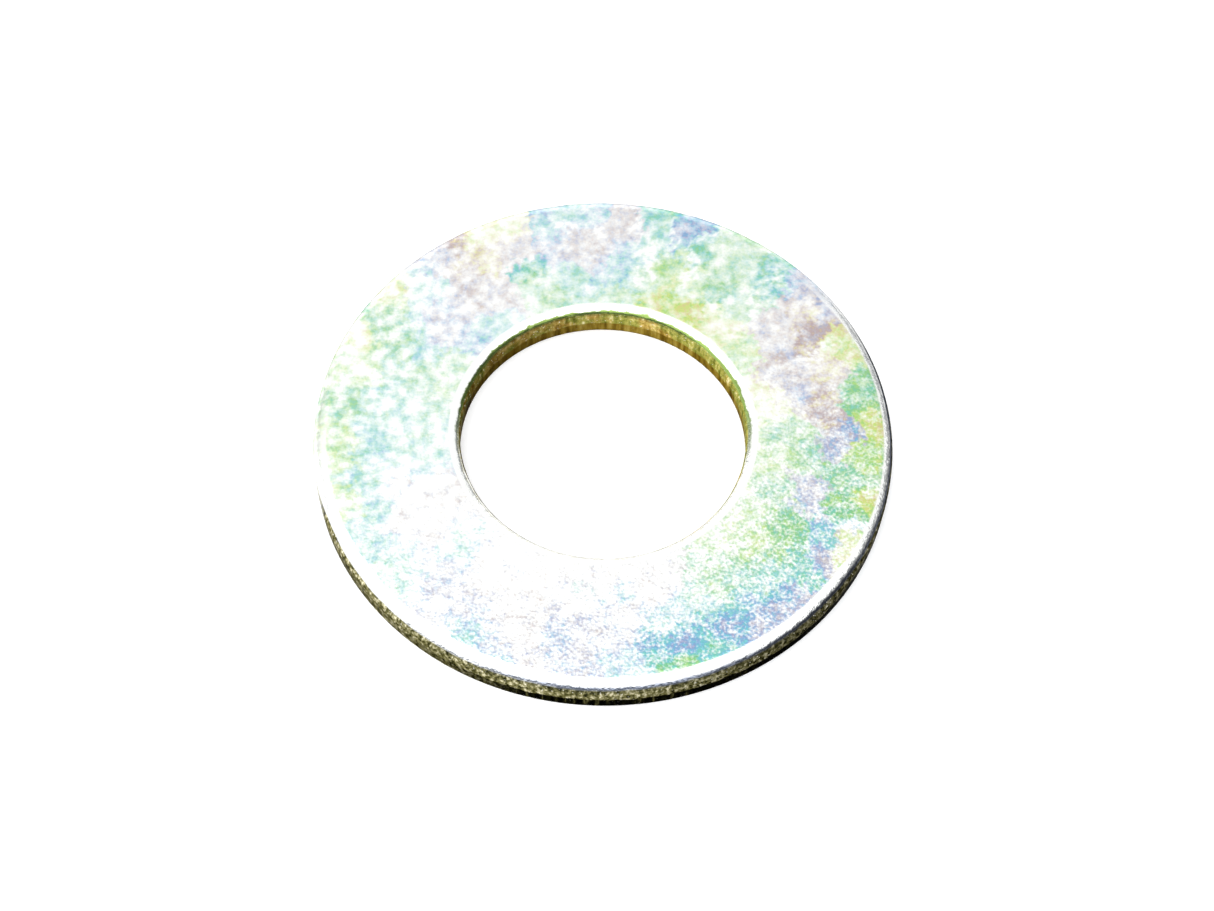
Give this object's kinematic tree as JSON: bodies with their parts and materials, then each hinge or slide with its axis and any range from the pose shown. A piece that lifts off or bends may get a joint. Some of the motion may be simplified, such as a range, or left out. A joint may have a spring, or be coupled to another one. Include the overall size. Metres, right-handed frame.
{
  "type": "flat washer",
  "caption": "Flat round steel washer with a central clearance hole, stamped with rounded upper edges and torn lower walls, zinc plated with an iridescent yellow chromate.",
  "frame": {"origin": "centre of the hole, on the underside, which is the face that the sheared walls break out at", "axes": "+Z along the axis of the hole, from the underside towards the upper face with the rounded edges; X and Y are equal"},
  "size_m": [0.017, 0.017, 0.001],
  "materials": {
    "yellow_zinc_plate": "stamped steel, zinc plated with a thin iridescent yellow chromate: pale on the faces, olive gold on the sheared walls"
  },
  "bodies": {
    "root": {"washer": "yellow_zinc_plate"}
  },
  "joints": []
}
